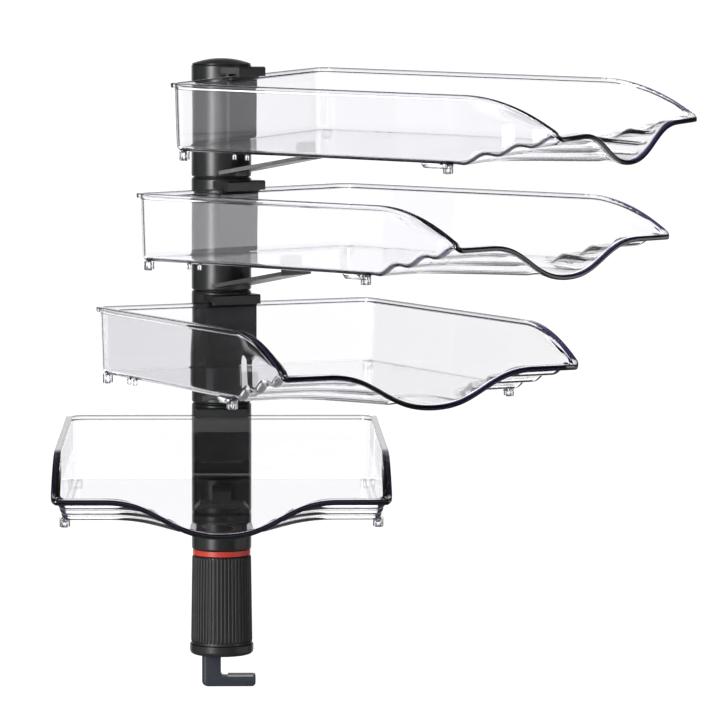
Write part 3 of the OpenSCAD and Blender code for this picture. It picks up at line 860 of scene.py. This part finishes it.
FINISH = {
    "black_plastic": grained("black_plastic", (0.011, 0.012, 0.0125), (0.016, 0.017, 0.0175), (0.31, 0.37)),
    "grip_plastic": grained("grip_plastic", (0.012, 0.0125, 0.012), (0.017, 0.0175, 0.017), (0.42, 0.5)),
    "red_plastic": grained("red_plastic", (0.62, 0.045, 0.03), (0.70, 0.06, 0.04), (0.34, 0.42)),
    "clear_tray": clear_plastic(),
    "blade_paint": powder_coat("blade_paint", (0.07, 0.07, 0.066), (0.09, 0.09, 0.085)),
    "hook_paint": powder_coat("hook_paint", (0.024, 0.029, 0.042), (0.031, 0.037, 0.052)),
    "grey_pad": soft_rubber("grey_pad", (0.30, 0.30, 0.31), (0.38, 0.38, 0.39), (0.6, 0.7)),
    "dark_rubber": soft_rubber("dark_rubber", (0.016, 0.016, 0.016), (0.026, 0.026, 0.026), (0.7, 0.8)),
    "washer_black": grained("washer_black", (0.008, 0.008, 0.008), (0.013, 0.013, 0.013), (0.5, 0.6)),
    "acetal": grained("acetal", (0.66, 0.65, 0.60), (0.74, 0.73, 0.69), (0.35, 0.45)),
    "steel": drawn_metal("steel", (0.40, 0.41, 0.42), (0.56, 0.57, 0.58), (0.25, 0.4)),
    "zinc": drawn_metal("zinc", (0.46, 0.46, 0.45), (0.62, 0.62, 0.61), (0.3, 0.45)),
    "brass": drawn_metal("brass", (0.52, 0.38, 0.13), (0.68, 0.52, 0.22), (0.2, 0.35)),
}


# -------- geometry trees

def node_tree_for(name, sockets):
    """A geometry tree with its geometry sockets and the named inputs [label, socket type, value]."""
    tree = bpy.data.node_groups.new(name, "GeometryNodeTree")
    tree.interface.new_socket("Geometry", in_out="INPUT", socket_type="NodeSocketGeometry")
    for label, kind, value in sockets:
        socket = tree.interface.new_socket(label, in_out="INPUT", socket_type=kind)
        if value is not None:
            socket.default_value = value
    tree.interface.new_socket("Geometry", in_out="OUTPUT", socket_type="NodeSocketGeometry")
    return tree, tree.nodes.new("NodeGroupInput"), tree.nodes.new("NodeGroupOutput")


def finish_tree(tree, geometry, given, out):
    """Every tree ends by realising its instances and setting the material."""
    real = tree.nodes.new("GeometryNodeRealizeInstances")
    paint = tree.nodes.new("GeometryNodeSetMaterial")
    tree.links.new(geometry, real.inputs["Geometry"])
    tree.links.new(real.outputs["Geometry"], paint.inputs["Geometry"])
    tree.links.new(given.outputs["Material"], paint.inputs["Material"])
    tree.links.new(paint.outputs["Geometry"], out.inputs["Geometry"])


def part_node(tree, given, label):
    info = tree.nodes.new("GeometryNodeObjectInfo")
    tree.links.new(given.outputs[label], info.inputs["Object"])
    return info.outputs["Geometry"]


def ribs_tree():
    """Repeats a rib round Z and joins the ribs to the core it is given."""
    tree, given, out = node_tree_for("ribs_round_grip", [
        ("Rib", "NodeSocketObject", None), ("Count", "NodeSocketInt", RIBS),
        ("Material", "NodeSocketMaterial", None)])
    nodes, links = tree.nodes, tree.links
    points = nodes.new("GeometryNodePoints")
    links.new(given.outputs["Count"], points.inputs["Count"])
    index = nodes.new("GeometryNodeInputIndex")
    share = math_node(tree, "DIVIDE", index.outputs[0], given.outputs["Count"])
    turn = nodes.new("ShaderNodeCombineXYZ")
    links.new(math_node(tree, "MULTIPLY", share, 2 * math.pi), turn.inputs["Z"])
    copies = nodes.new("GeometryNodeInstanceOnPoints")
    links.new(points.outputs[0], copies.inputs["Points"])
    links.new(part_node(tree, given, "Rib"), copies.inputs["Instance"])
    links.new(turn.outputs[0], copies.inputs["Rotation"])
    join = nodes.new("GeometryNodeJoinGeometry")
    links.new(given.outputs["Geometry"], join.inputs[0])
    links.new(copies.outputs[0], join.inputs[0])
    finish_tree(tree, join.outputs[0], given, out)
    return tree


def row_of_copies(tree, given, part, start_label, end_label):
    """Copies of a part on both ends of a line, all in one socket."""
    line = tree.nodes.new("GeometryNodeMeshLine")
    line.mode = "END_POINTS"
    line.inputs["Count"].default_value = 2
    tree.links.new(given.outputs[start_label], line.inputs["Start Location"])
    tree.links.new(given.outputs[end_label], line.inputs["Offset"])
    copies = tree.nodes.new("GeometryNodeInstanceOnPoints")
    tree.links.new(line.outputs[0], copies.inputs["Points"])
    tree.links.new(part, copies.inputs["Instance"])
    return copies.outputs[0]


def feet_tree():
    """Feet at four corners and pins in two pairs, joined to the geometry it is given; the tray's placing
    turns and lifts them to their level afterwards.
    """
    places = [("Front left", "Front right", "Foot"), ("Rear left", "Rear right", "Foot"),
              ("Left pin rear", "Left pin front", "Pin"), ("Right pin rear", "Right pin front", "Pin")]
    sockets = [("Foot", "NodeSocketObject", None), ("Pin", "NodeSocketObject", None)]
    for start, end, _ in places:
        sockets += [(start, "NodeSocketVector", None), (end, "NodeSocketVector", None)]
    sockets.append(("Material", "NodeSocketMaterial", None))
    tree, given, out = node_tree_for("feet_under_tray", sockets)
    join = tree.nodes.new("GeometryNodeJoinGeometry")
    tree.links.new(given.outputs["Geometry"], join.inputs[0])
    for start, end, part in places:
        row = row_of_copies(tree, given, part_node(tree, given, part), start, end)
        tree.links.new(row, join.inputs[0])
    finish_tree(tree, join.outputs[0], given, out)
    return tree


def set_inputs(modifier, tree, values):
    for item in tree.interface.items_tree:
        if item.item_type == "SOCKET" and item.in_out == "INPUT" and item.name in values:
            modifier[item.identifier] = values[item.name]


def grown(name, base, tree, values):
    """Runs a tree on a base object once and keeps the result as a plain mesh."""
    modifier = base.modifiers.new("grow", "NODES")
    modifier.node_group = tree
    set_inputs(modifier, tree, values)
    graph = bpy.context.evaluated_depsgraph_get()
    mesh = bpy.data.meshes.new_from_object(base.evaluated_get(graph))
    base.modifiers.remove(modifier)
    base.data = mesh
    base.name = name
    tidy_mesh(mesh)
    return base


def drop_helper(obj):
    bpy.data.objects.remove(obj, do_unlink=True)


# -------- pieces

def dress_cad():
    """Materials for the CAD pieces by their slot; clips and blades get a copy with softened edges."""
    for part in frame["record"]["subparts"]:
        node, slot = part["node"], part["material_slot"]
        obj = frame["nodes"][node]
        obj.data.materials.clear()
        obj.data.materials.append(FINISH[slot])
        level = node[-1]
        if node.startswith("rim_clip"):
            put(softened(obj, "soft_clip_" + level), FINISH[slot], "swivel_" + level, node)
        elif node.startswith("support_blade"):
            put(softened(obj, "soft_blade_" + level), FINISH[slot], "swivel_" + level, node)


def softened(source, name):
    """A copy of a flat CAD piece with its seams merged and its sharp edges rounded."""
    obj = bpy.data.objects.new(name, source.data.copy())
    bpy.context.scene.collection.objects.link(obj)
    work = bmesh.new()
    work.from_mesh(obj.data)
    bmesh.ops.remove_doubles(work, verts=work.verts, dist=MERGE_GAP)
    bmesh.ops.dissolve_limit(work, angle_limit=math.radians(FLAT_TURN), verts=work.verts, edges=work.edges)
    work.to_mesh(obj.data)
    work.free()
    edges = obj.modifiers.new("soft_edges", "BEVEL")
    edges.width = EDGE_SOFT * MM
    edges.segments = 3
    edges.limit_method = "ANGLE"
    edges.angle_limit = math.radians(SHARP_TURN)
    graph = bpy.context.evaluated_depsgraph_get()
    mesh = bpy.data.meshes.new_from_object(obj.evaluated_get(graph))
    obj.modifiers.remove(edges)
    obj.data = mesh
    return obj


def build_trays():
    surface = tray_surface()
    bars = [bar_shape(side) for side in (1, -1)]
    foot = mesh_object("foot_pattern", *foot_shape())
    pin = mesh_object("pin_pattern", *pin_shape())
    feet = feet_tree()
    for k in LEVELS:
        place = level_matrix(k)
        tray = mesh_object("clear_tray_%d" % k, *surface)
        mark_edge_shade(tray.data)
        tray.data.transform(place)
        put(tray, FINISH["clear_tray"], "swivel_%d" % k, "tray_%d" % k)
        base = mesh_object("tray_feet_%d" % k, *joined(bars_at_floor(bars)))
        grown("tray_feet_%d" % k, base, feet, feet_inputs(foot, pin))
        base.data.transform(place)
        put(base, FINISH["clear_tray"], "swivel_%d" % k, "tray_%d" % k)
    drop_helper(foot)
    drop_helper(pin)


def bars_at_floor(bars):
    return [([(u, v, z + FLOOR_Z) for u, v, z in verts], faces) for verts, faces in bars]


def joined(shapes):
    verts, faces = [], []
    for more_verts, more_faces in shapes:
        first = len(verts)
        verts += more_verts
        faces += [tuple(i + first for i in face) for face in more_faces]
    return verts, faces


def feet_inputs(foot, pin):
    def at(u, v):
        return (u * MM, v * MM, FLOOR_Z * MM)
    return {"Foot": foot, "Pin": pin, "Material": FINISH["clear_tray"],
            "Front left": at(-FRONT_FEET[0], FRONT_FEET[1]), "Front right": at(*FRONT_FEET),
            "Rear left": at(-REAR_FEET[0], REAR_FEET[1]), "Rear right": at(*REAR_FEET),
            "Left pin rear": at(-PINS[0], PINS[1]), "Left pin front": at(-PINS[0], PINS[2]),
            "Right pin rear": at(PINS[0], PINS[1]), "Right pin front": at(PINS[0], PINS[2])}


def build_grip():
    core = mesh_object("grip_core", *grip_core_shape())
    rib = mesh_object("rib_pattern", *rib_shape())
    tree = ribs_tree()
    grip = grown("ribbed_grip", core, tree, {"Rib": rib, "Count": RIBS, "Material": FINISH["grip_plastic"]})
    put(grip, FINISH["grip_plastic"], "grip", "fluted_grip")
    drop_helper(rib)


def build_hook():
    hook = mesh_object("desk_hook", *hook_shape())
    put(hook, FINISH["hook_paint"], "hook", "hook_arm")


# -------- stage

def area_light(name, place, size, power):
    """A soft box of the given width and height in metres, aimed at the tower."""
    data = bpy.data.lights.new(name, "AREA")
    data.shape = "RECTANGLE"
    data.size, data.size_y = size
    data.energy = power
    lamp = bpy.data.objects.new(name, data)
    lamp.location = place
    lamp.rotation_euler = (Vector(SOFTBOX_AIM) - Vector(place)).to_track_quat("-Z", "Y").to_euler()
    bpy.context.scene.collection.objects.link(lamp)


def ramp_up(tree, value, low, high, top):
    """0 below low, rising smoothly to top at high."""
    node = tree.nodes.new("ShaderNodeMapRange")
    node.interpolation_type = "SMOOTHSTEP"
    node.inputs["From Min"].default_value = low
    node.inputs["From Max"].default_value = high
    node.inputs["To Max"].default_value = top
    tree.links.new(value, node.inputs["Value"])
    return node.outputs["Result"]


def towards(tree, direction, bearing):
    """How squarely a direction points to a bearing, counted from the front towards the left."""
    node = tree.nodes.new("ShaderNodeVectorMath")
    node.operation = "DOT_PRODUCT"
    a = math.radians(bearing)
    node.inputs[1].default_value = (-math.sin(a), -math.cos(a), 0)
    tree.links.new(direction, node.inputs[0])
    return node.outputs["Value"]


def studio_level(tree, direction):
    """Brightness of the studio in a direction. There are white screens before and behind; a mirror
    image shows the one behind and soft glows at the sides. The camera itself sees white all round."""
    path = tree.nodes.new("ShaderNodeLightPath")
    mirrored = math_node(tree, "MODULO", path.outputs["Ray Depth"], 2.0)
    front, back = (ramp_up(tree, towards(tree, direction, bearing), *SCREEN_EDGE, 1.0)
                   for bearing in SCREENS)
    screens = math_node(tree, "ADD", front, back)
    left, right = (ramp_up(tree, towards(tree, direction, bearing), *GLOW_EDGE, level)
                   for bearing, level in (LEFT_GLOW, RIGHT_GLOW))
    sharp = math_node(tree, "MAXIMUM", path.outputs["Is Singular Ray"], GLOW_ON_DULL)
    glows = math_node(tree, "MULTIPLY", math_node(tree, "ADD", left, right), sharp)
    hidden = math_node(tree, "MULTIPLY", front, mirrored)
    through = math_node(tree, "MULTIPLY", math_node(tree, "SUBTRACT", screens, hidden), SCREEN_LEVEL)
    total = math_node(tree, "ADD", through, math_node(tree, "MULTIPLY", glows, mirrored))
    total = math_node(tree, "ADD", total, SIDE_LEVEL)
    return math_node(tree, "MAXIMUM", total, path.outputs["Is Camera Ray"])


def steep_level(tree):
    """Brightness straight overhead and underfoot: low in a first mirror image, high inside the trays."""
    path = tree.nodes.new("ShaderNodeLightPath")
    depth, passed = path.outputs["Ray Depth"], path.outputs["Transmission Depth"]
    bounced = math_node(tree, "SUBTRACT", depth, passed)
    few = math_node(tree, "LESS_THAN", math_node(tree, "MULTIPLY", bounced, passed), FEW_BOUNCES)
    leaving = math_node(tree, "SUBTRACT", 1.0, path.outputs["Is Reflection Ray"])
    leaving = math_node(tree, "MULTIPLY", leaving, math_node(tree, "GREATER_THAN", depth, FIRST_LEG))
    inside = math_node(tree, "MULTIPLY", few, leaving)
    return math_node(tree, "ADD", STEEP_MIRRORED, math_node(tree, "MULTIPLY", inside, STEEP_INSIDE))


def ground_level(tree):
    """Brightness of the floor: steep light near the tower, the studio wall's own far out."""
    coord = tree.nodes.new("ShaderNodeTexCoord")
    length = tree.nodes.new("ShaderNodeVectorMath")
    length.operation = "LENGTH"
    tree.links.new(coord.outputs["Object"], length.inputs[0])
    direction = tree.nodes.new("ShaderNodeVectorMath")
    direction.operation = "SCALE"
    scale = math_node(tree, "DIVIDE", 1.0, math_node(tree, "MAXIMUM", length.outputs["Value"], GROUND_NEAR))
    tree.links.new(coord.outputs["Object"], direction.inputs[0])
    tree.links.new(scale, direction.inputs["Scale"])
    afar = ramp_up(tree, length.outputs["Value"], *GROUND_AFAR, 1.0)
    close_by = math_node(tree, "MULTIPLY", math_node(tree, "SUBTRACT", 1.0, afar), steep_level(tree))
    return math_node(tree, "MAXIMUM", studio_level(tree, direction.outputs["Vector"]), close_by)


def pale_floor():
    """A wide pale floor, lit like the studio wall that it runs into."""
    corners = [(x * GROUND_HALF, y * GROUND_HALF, GROUND_LEVEL)
               for x, y in ((-1, -1), (1, -1), (1, 1), (-1, 1))]
    mesh = bpy.data.meshes.new("floor")
    mesh.from_pydata(corners, [], [(0, 1, 2, 3)])
    floor = bpy.data.objects.new("floor", mesh)
    bpy.context.scene.collection.objects.link(floor)
    mat, tree, shader = shader_start("pale_floor")
    shader.inputs["Base Color"].default_value = (GROUND_GREY, GROUND_GREY, GROUND_GREY, 1)
    shader.inputs["Roughness"].default_value = 1.0
    shader.inputs["Emission Strength"].default_value = 1.0
    tree.links.new(ground_level(tree), shader.inputs["Emission Color"])
    mesh.materials.append(mat)


def studio_sky():
    """The studio wall: the same levels as the floor near the horizon, dark overhead."""
    world = bpy.data.worlds.new("studio")
    bpy.context.scene.world = world
    world.use_nodes = True
    tree = world.node_tree
    coord = tree.nodes.new("ShaderNodeTexCoord")
    split = tree.nodes.new("ShaderNodeSeparateXYZ")
    tree.links.new(coord.outputs["Generated"], split.inputs[0])
    level = studio_level(tree, coord.outputs["Generated"])
    overhead = ramp_up(tree, split.outputs["Z"], *OVERHEAD, 1.0)
    lowered = math_node(tree, "MULTIPLY", level, math_node(tree, "SUBTRACT", 1.0, overhead))
    lifted = math_node(tree, "ADD", lowered, math_node(tree, "MULTIPLY", overhead, steep_level(tree)))
    seen = tree.nodes.new("ShaderNodeLightPath").outputs["Is Camera Ray"]
    tree.links.new(math_node(tree, "MAXIMUM", lifted, seen), tree.nodes["Background"].inputs["Color"])


def aim_camera():
    data = bpy.data.cameras.new("camera")
    data.sensor_width = 36.0
    data.lens = CAMERA_LENS
    data.clip_start, data.clip_end = CAMERA_CLIP
    camera = bpy.data.objects.new("camera", data)
    yaw, pitch, roll = (math.radians(a) for a in CAMERA_TURN)
    ahead = Vector((math.sin(yaw) * math.cos(pitch), math.cos(yaw) * math.cos(pitch), -math.sin(pitch)))
    right = Vector((math.cos(yaw), -math.sin(yaw), 0))
    up = right.cross(ahead)
    right, up = right * math.cos(roll) + up * math.sin(roll), up * math.cos(roll) - right * math.sin(roll)
    turn = Matrix((right, up, -ahead)).transposed().to_4x4()
    place = (0, -CAMERA_BACK, SEAM[1] * MM + CAMERA_RISE)
    camera.matrix_world = Matrix.Translation(place) @ turn
    bpy.context.scene.collection.objects.link(camera)
    bpy.context.scene.camera = camera


def view_and_bounces():
    """Plain colours, and enough bounces for light to pass all four trays."""
    scene = bpy.context.scene
    scene.view_settings.view_transform = "Standard"
    scene.cycles.max_bounces = 32
    scene.cycles.transmission_bounces = 28
    scene.cycles.transparent_max_bounces = 32


# -------- building

dress_cad()
build_trays()
build_grip()
build_hook()
pale_floor()
studio_sky()
aim_camera()
area_light("left_softbox", (-2.0, -2.4, 0.7), (0.9, 1.9), 92)
area_light("right_softbox", (2.6, -1.4, 0.7), (0.5, 1.7), 9)
view_and_bounces()
